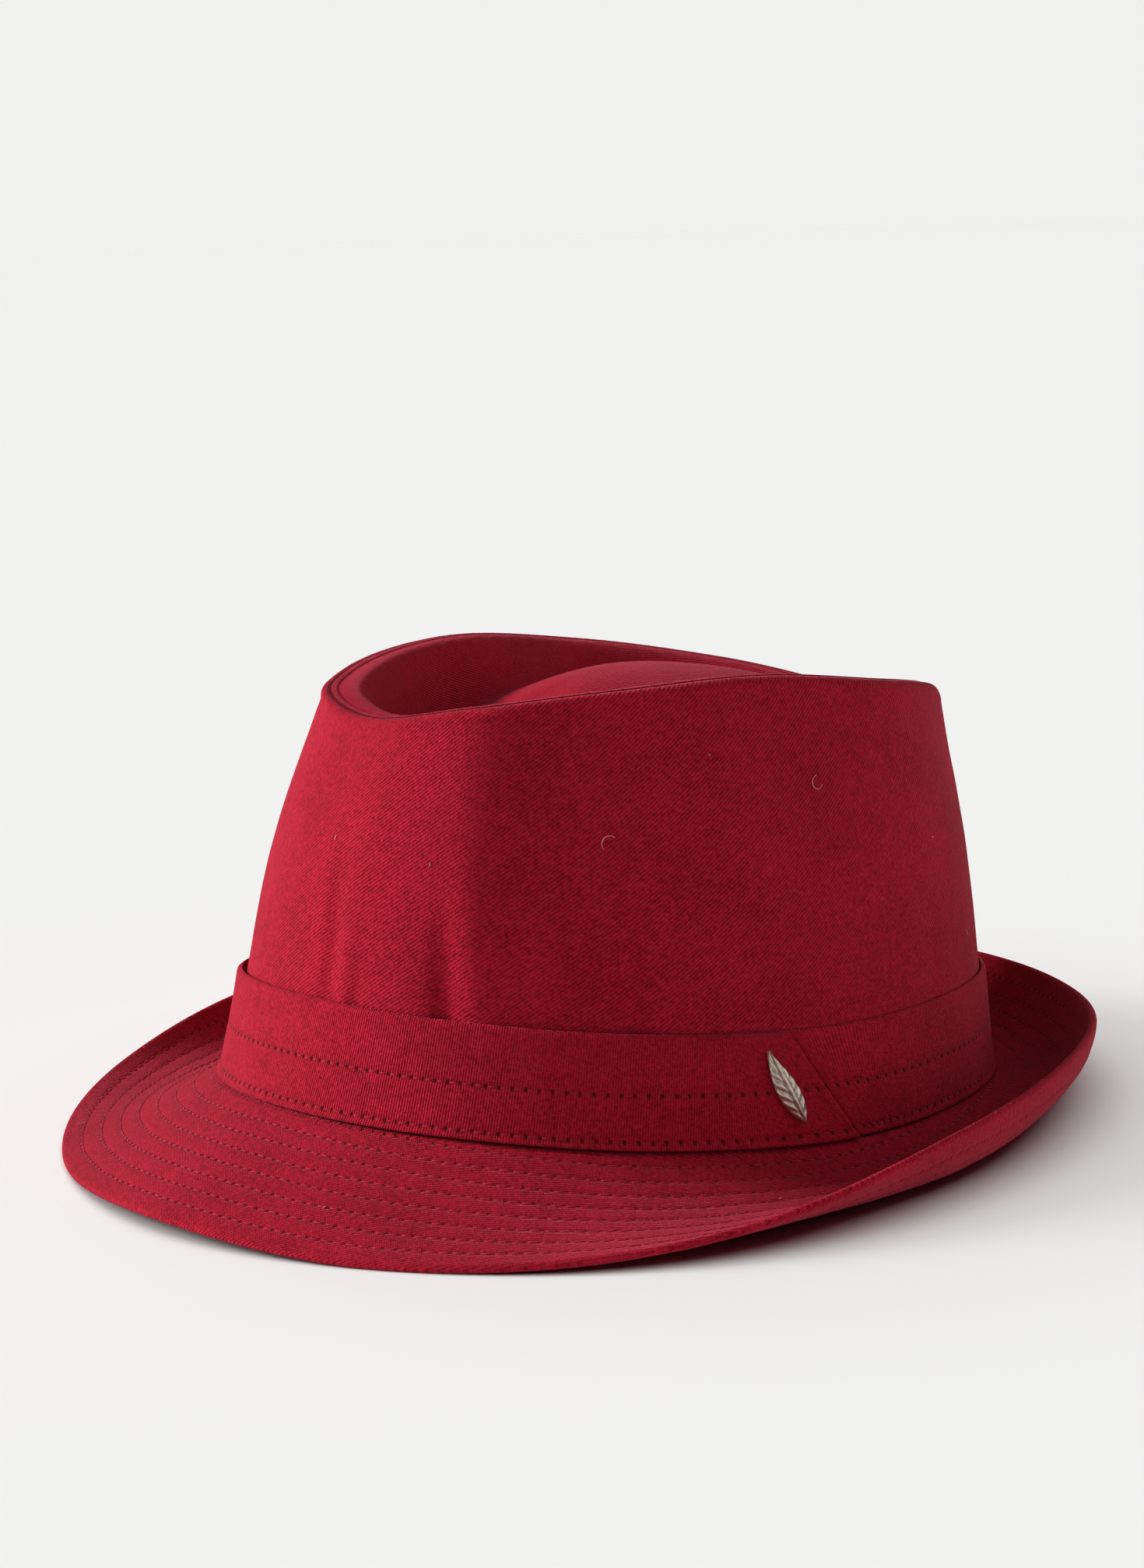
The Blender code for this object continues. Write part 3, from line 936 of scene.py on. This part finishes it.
def band_face(height):
    """The band's thickness at a share of its height: stitch grooves and the proud lower edge."""
    thick = BAND_THICK
    for row in BAND_ROWS:
        off = (height - row) * BAND_HEIGHT
        thick -= BAND_ROW_DIP * exp(-((off / BAND_ROW_HALF) ** 2))
    thick += PROUD_EDGE * BAND_THICK * exp(-((height * BAND_HEIGHT / PROUD_REACH) ** 2))
    top = (1.0 - height) * BAND_HEIGHT / TOP_FOLD
    if top < 1.0:
        thick *= 0.30 + 0.70 * (1.0 - (1.0 - top) ** 2) ** 0.5
    return thick


def band_degrees():
    """The angles of the band's columns, close together at the lap's folded end."""
    near = [LAP_AT + step for step in LAP_COLUMNS]
    plain = [degrees for degrees in round_hat(BAND_AROUND) if not -1.4 < degrees - LAP_AT < 0.8]
    return sorted(plain + near)


def band_points():
    """The band's rows: under its lower edge, up its face, over the top and down inside."""
    plan = [(0.0, 0.55)]
    plan += [(step / BAND_FACE_ROWS, 1.0) for step in range(BAND_FACE_ROWS + 1)]
    plan += [(height, None) for height in (1.0, 0.75, 0.5, 0.25, 0.0)]
    rows = []
    marks = []
    for height, depth in plan:
        row = []
        for degrees in band_degrees():
            raised = 0.0
            if depth is not None:
                ripple = BAND_RIPPLE * noise.noise(Vector((degrees * 0.6, height * 3.0, 9.0)))
                raised = (band_face(height) + ripple + lap_raise(degrees)) * depth
            row.append(seat(*on_band(degrees, height, raised)))
            marks.append((degrees, height))
        rows.append(row)
    return rows, marks


band_rows, band_marks = band_points()
band_length = girth(band_rows[8])
band_flat = []
for _, height in band_marks[::len(band_rows[0])]:
    band_flat.append([(along, height * BAND_HEIGHT / MM) for along in band_length])
band_flat.append(band_flat[0])
band = weave_sheet("hat_band_cloth", band_rows, band_flat, closed_section=True)
band_stitches = round(band_length[-1] / STITCH_LENGTH)
band_row_marks = []
for degrees, height in band_marks:
    off = min(abs(height - row) for row in BAND_ROWS) * BAND_HEIGHT / MM
    band_row_marks.append((degrees / 360.0 * band_stitches, min(off, 2.5)))
seam_uv(band, "rows", band_row_marks)
BAND_RIDGE_APART = 0.62
# The band's needle holes get painted shade.
band.data.materials.append(red_twill("band twill", 8.0, BAND_RIDGE_APART, needle_holes, 0.85))
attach(band, "root")
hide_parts("hat_band")

# Band stitching. Two rows of the same red lockstitch, one along the middle of the band and one
# just above its lower edge, in a slightly darker thread.
BAND_REDS = ((0.2, 0.005, 0.012, 1.0), (0.37, 0.014, 0.03, 1.0))


def sew_band():
    """Every stitch of the band's rows, but for those under the lap's folded end."""
    points = []
    faces = []
    for row in BAND_ROWS:
        for number in range(band_stitches):
            middle = 360.0 * (number + 0.5) / band_stitches
            reach = 180.0 * STITCH_SHARE / band_stitches
            if abs(middle - LAP_AT) < 1.2 * reach:
                continue
            ends = []
            for degrees in (middle - reach, middle + reach):
                raised = band_face(row) + lap_raise(degrees)
                ends.append(seat(*on_band(degrees, row, raised)))
            out = seat(*on_band(middle, row, BAND_THICK * 4.0)) - seat(*on_band(middle, row, 0.0))
            add_stitch(points, faces, ends[0], ends[1], out.normalized())
    return points, faces


band_thread = cotton_fibre("band thread", THREAD_UNEVEN, *BAND_REDS, THREAD_GLOSS)
stitch_piece("band_stitches", *sew_band(), band_thread, "band_twill")

# Pin. A small plain leaf cast in pewter-coloured metal, with a raised midrib and worn side veins.
# Its stem goes through the lapped end of the band.
PIN_LENGTH = 19.0 * MM
PIN_WIDTH = 6.2 * MM
PIN_THICK = 1.8 * MM
PIN_AT = 78.5
PIN_TURN = radians(4.0)
PIN_LEVEL = 0.52
PIN_LIFT = 0.5 * MM
PIN_STATIONS = 72
PIN_ACROSS = 24
VEINS = 7
PEWTER = ((0.17, 0.14, 0.115, 1.0), (0.72, 0.64, 0.54, 1.0))


def leaf_height(across, along):
    """The leaf's relief at a share across (-1 to 1) and along (0 to 1), in its thicknesses."""
    dome = 1.0 - 0.55 * across * across
    rib = 0.22 * exp(-((across / 0.13) ** 2))
    beside = -0.16 * exp(-(((abs(across) - 0.24) / 0.10) ** 2))
    vein = 0.10 * cos(2.0 * pi * (along * VEINS - abs(across) * 1.1)) * min(abs(across) * 2.5, 1.0)
    return dome * (0.50 + 0.38 * sin(pi * along)) + rib + beside + vein * sin(pi * along)


def pin_points():
    """The pin's closed sections from its foot to its tip."""
    turned, outward, up = on_band(PIN_AT, PIN_LEVEL, BAND_THICK + lap_raise(PIN_AT))
    here = seat(turned, outward, up)
    higher = seat(*on_band(PIN_AT, PIN_LEVEL + 0.1, BAND_THICK + lap_raise(PIN_AT)))
    rise = (higher - here).normalized()
    _, _, out_x, out_y = head_line(PIN_AT)
    along_hat = Vector((-out_y, out_x, 0.0))
    out = along_hat.cross(rise)
    side = along_hat * cos(PIN_TURN) + rise * sin(PIN_TURN)
    length = rise * cos(PIN_TURN) - along_hat * sin(PIN_TURN)
    rings = []
    for station in range(PIN_STATIONS + 1):
        share = 0.004 + 0.992 * station / PIN_STATIONS
        half = 0.5 * PIN_WIDTH * sin(pi * share ** 0.8)
        middle = here + length * (share - 0.5) * PIN_LENGTH + out * PIN_LIFT
        ring = [middle - side * half, middle + side * half]
        for step in range(PIN_ACROSS + 1):
            across = 1.0 - 2.0 * step / PIN_ACROSS
            edge = (1.0 - abs(across) ** 6) ** 0.5
            tall = PIN_THICK * leaf_height(across, share) * (0.3 + 0.7 * edge)
            ring.append(middle + side * half * across + out * tall)
        rings.append(ring)
    return rings


pin_rings = pin_points()
pin_faces = []
skin_rings(pin_faces, 0, len(pin_rings), len(pin_rings[0]), turned=True)
leaf_pin = add_object("leaf_pin", [point for ring in pin_rings for point in ring], pin_faces)


def worn_pewter(name):
    """Cast metal the colour of old pewter, dark in its hollows and brighter where rubbed."""
    paint, tree, surface = mix_paint(name, {"Metallic": 1.0})
    place = add_node(tree, "TexCoord", {}).outputs["Object"]
    grain = speckle(tree, place, 0.5 * MM, 4.0, 0.6)
    cloud = speckle(tree, place, 3.0 * MM, 3.0, 0.5)
    hollow = add_node(tree, "NewGeometry", {}).outputs["Pointiness"]
    rubbed = ramp(tree, hollow, 0.46, 0.54)
    tone = reckon(tree, "MULTIPLY_ADD", cloud, 0.4, reckon(tree, "MULTIPLY", rubbed, 0.7))
    colour = blend_dye(tree, tone, *PEWTER)
    tree.links.new(colour, surface.inputs["Base Color"])
    rough = ramp(tree, grain, 0.3, 0.7, 0.34, 0.52)
    tree.links.new(rough, surface.inputs["Roughness"])
    bump = add_node(tree, "Bump", {"Height": grain, "Distance": 0.05 * MM, "Strength": 0.5})
    tree.links.new(bump.outputs["Normal"], surface.inputs["Normal"])
    return paint


leaf_pin.data.materials.append(worn_pewter("worn pewter"))
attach(leaf_pin, "root")
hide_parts("band_pin")

# Lint. A few pale fibres that cling to the brushed nap, some curled and some straight. On the side
# they are given by degrees, share of the wall, and on the brim by degrees and mm from the edge;
# then come length in mm, bend in degrees and turn in degrees.
LINT_ON_SIDE = (
    (94.0, 0.79, 7.0, 250.0, 40.0),
    (56.0, 0.69, 5.5, 170.0, -30.0),
    (27.0, 0.66, 0.9, 30.0, 15.0),
    (13.0, 0.30, 1.0, 40.0, 70.0),
    (4.0, 0.72, 1.2, 50.0, 10.0),
    (118.0, 0.66, 1.3, 60.0, 80.0),
    (128.0, 0.40, 1.5, 40.0, 20.0),
    (76.0, 0.88, 1.0, 30.0, 60.0),
    (-60.0, 0.55, 4.0, 120.0, 25.0),
    (165.0, 0.50, 3.5, 150.0, -60.0),
)
LINT_ON_BRIM = (
    (-38.0, 4.0, 1.8, 70.0, 30.0),
    (122.0, 16.0, 2.6, 130.0, 10.0),
    (72.0, 24.0, 1.2, 40.0, 60.0),
    (20.0, 14.0, 0.9, 30.0, 20.0),
    (-80.0, 12.0, 2.2, 90.0, 75.0),
)
LINT_HALF = 0.075 * MM
LINT_RINGS = 14
LINT_SIDES = 5
LINT_LIFT = 0.16 * MM
LINT_PINKS = ((0.42, 0.1, 0.135, 1.0), (0.8, 0.52, 0.54, 1.0))
LINT_UNEVEN = 1.5 * MM


def add_fibre(points, faces, middle, up, length, bend, turn):
    """One bent fibre that lies on the cloth at a place, as a thin tapered tube."""
    along = up.cross(Vector((0.3, 0.2, 1.0))).normalized()
    side = up.cross(along)
    radius = length * MM / radians(bend)
    base = len(points)
    for ring in range(LINT_RINGS):
        share = ring / (LINT_RINGS - 1) - 0.5
        angle = radians(turn + bend * share)
        out = along * cos(angle) + side * sin(angle)
        spot = middle + out * radius + up * (LINT_LIFT * (1.0 + 2.0 * share * share))
        half = LINT_HALF * (1.0 - 1.6 * share * share)
        add_ring(points, spot, out, up, half, half, LINT_SIDES)
    skin_rings(faces, base, LINT_RINGS, LINT_SIDES, turned=True)


def gather_lint():
    """All the fibres on the crown side and on the brim."""
    points = []
    faces = []
    for degrees, share, length, bend, turn in LINT_ON_SIDE:
        outward, height = folded_wall(degrees, share)
        outward -= press(CREASES, degrees, share)
        middle = seat(degrees, outward, height)
        up = (seat(degrees, outward + MM, height + 0.2 * MM) - middle).normalized()
        add_fibre(points, faces, middle, up, length, bend, turn)
    for degrees, left, length, bend, turn in LINT_ON_BRIM:
        middle, up = brim_top(degrees, left)
        add_fibre(points, faces, middle + up * ROW_DIP, up, length, bend, turn)
    return points, faces


lint_values = {"Roughness": 0.7, "Sheen Weight": 0.3}
lint_paint = cotton_fibre("lint fibre", LINT_UNEVEN, *LINT_PINKS, lint_values)
stitch_piece("lint", *gather_lint(), lint_paint, "side_twill")

# Studio. A pale seamless floor that meets a pale wall far off, one low soft light on the hat from
# the photograph's left, and wide light from above. The floor has its own lamps, which keep it
# pale right up to the wall.
WALL_RADIUS = 5.0
WALL_TALL = 1.4
FLOOR_RINGS = (0.001, 0.6, 4.0, WALL_RADIUS)
STAGE_SIDES = 96
FLOOR_GREY = (0.80, 0.80, 0.795, 1.0)
WALL_GREY = (0.87, 0.87, 0.865, 1.0)
BLACK = (0.0, 0.0, 0.0, 1.0)
FILL_STRENGTH = 0.022

# Name, strength, spread, degrees from the front, rise, and whether it lights the floor or the hat
LAMPS = (
    ("key", 7.1, 26.0, -48.0, 20.0, False),
    ("overhead", 0.34, 120.0, 180.0, 80.0, False),
    ("side", 0.66, 60.0, 136.0, 36.0, False),
    ("floor key", 1.71, 26.0, -48.0, 20.0, True),
    ("floor overhead", 2.93, 120.0, -60.0, 76.0, True),
)


def round_stage(name, profile, paint):
    """A round floor or wall from a profile of radius and height."""
    points = []
    faces = []
    for radius, height in profile:
        for side in range(STAGE_SIDES):
            turn = 2.0 * pi * side / STAGE_SIDES
            points.append((radius * cos(turn), radius * sin(turn), height))
    for ring in range(len(profile) - 1):
        low = ring * STAGE_SIDES
        high = low + STAGE_SIDES
        for side in range(STAGE_SIDES):
            after = (side + 1) % STAGE_SIDES
            faces.append((low + side, low + after, high + after, high + side))
    stage = add_object(name, points, faces, smooth=False)
    stage.data.materials.append(paint)
    return stage


def light_group(name, thing, state="EXCLUDE"):
    """A group that lets light reach, or keep clear of, one piece of the stage."""
    group = bpy.data.collections.new(name)
    group.objects.link(thing)
    group.collection_objects[0].light_linking.link_state = state
    return group


floor_values = {"Base Color": FLOOR_GREY, "Roughness": 0.9, "Specular IOR Level": 0.1}
floor_paint = mix_paint("pale floor", floor_values)[0]
studio_floor = round_stage("studio_floor", [(radius, 0.0) for radius in FLOOR_RINGS], floor_paint)
wall_values = {"Base Color": BLACK, "Specular IOR Level": 0.0, "Emission Color": WALL_GREY}
wall_values["Emission Strength"] = 1.0
wall_paint = mix_paint("pale wall", wall_values)[0]
wall_profile = ((WALL_RADIUS, 0.0), (WALL_RADIUS, WALL_TALL))
studio_wall = round_stage("studio_wall", wall_profile, wall_paint)
studio_wall.light_linking.receiver_collection = light_group("wall ground", studio_floor)


def toward(azimuth, rise):
    """The way out from the hat at some degrees from the front and some degrees up."""
    across = cos(radians(rise))
    turn = radians(azimuth)
    return Vector((sin(turn) * across, -cos(turn) * across, sin(radians(rise))))


for name, strength, spread, azimuth, rise, on_floor in LAMPS:
    lamp = bpy.data.lights.new(name, "SUN")
    lamp.energy = strength
    lamp.angle = radians(spread)
    light = bpy.data.objects.new(name, lamp)
    light.rotation_euler = toward(azimuth, rise).to_track_quat("Z", "Y").to_euler()
    scene.collection.objects.link(light)
    state = "INCLUDE" if on_floor else "EXCLUDE"
    light.light_linking.receiver_collection = light_group(name + " ground", studio_floor, state)
    if on_floor:
        light.light_linking.blocker_collection = light_group(name + " no wall", studio_wall)

air = bpy.data.worlds.new("studio air")
air.use_nodes = True
air.node_tree.nodes["Background"].inputs["Color"].default_value = (1.0, 1.0, 1.0, 1.0)
air.node_tree.nodes["Background"].inputs["Strength"].default_value = FILL_STRENGTH
scene.world = air
scene.view_settings.view_transform = "Standard"

# Camera. It stands in front of the hat on the wearer's left, a little above it, and is turned
# slightly, as the photograph was taken.
CAMERA_AZIMUTH = 49.003
CAMERA_RISE = 10.802
CAMERA_ROLL = radians(-2.174)
CAMERA_DISTANCE = 903.6 * MM
CAMERA_TARGET = Vector((0.0, -3.5 * MM, 82.0 * MM))
SENSOR = 36.0
LENS = 85.77

back = toward(CAMERA_AZIMUTH, CAMERA_RISE)
level_right = Vector((0.0, 0.0, 1.0)).cross(back).normalized()
level_up = back.cross(level_right)
right = level_right * cos(CAMERA_ROLL) + level_up * sin(CAMERA_ROLL)
upward = level_up * cos(CAMERA_ROLL) - level_right * sin(CAMERA_ROLL)
spot = CAMERA_TARGET + back * CAMERA_DISTANCE
lens = bpy.data.cameras.new("photo camera")
lens.sensor_width = SENSOR
lens.lens = LENS
lens.clip_start = 0.01
lens.clip_end = 50.0
camera = bpy.data.objects.new("photo camera", lens)
turned_axes = Matrix((right, upward, back)).transposed().to_4x4()
camera.matrix_world = Matrix.Translation(spot) @ turned_axes
scene.collection.objects.link(camera)
scene.camera = camera
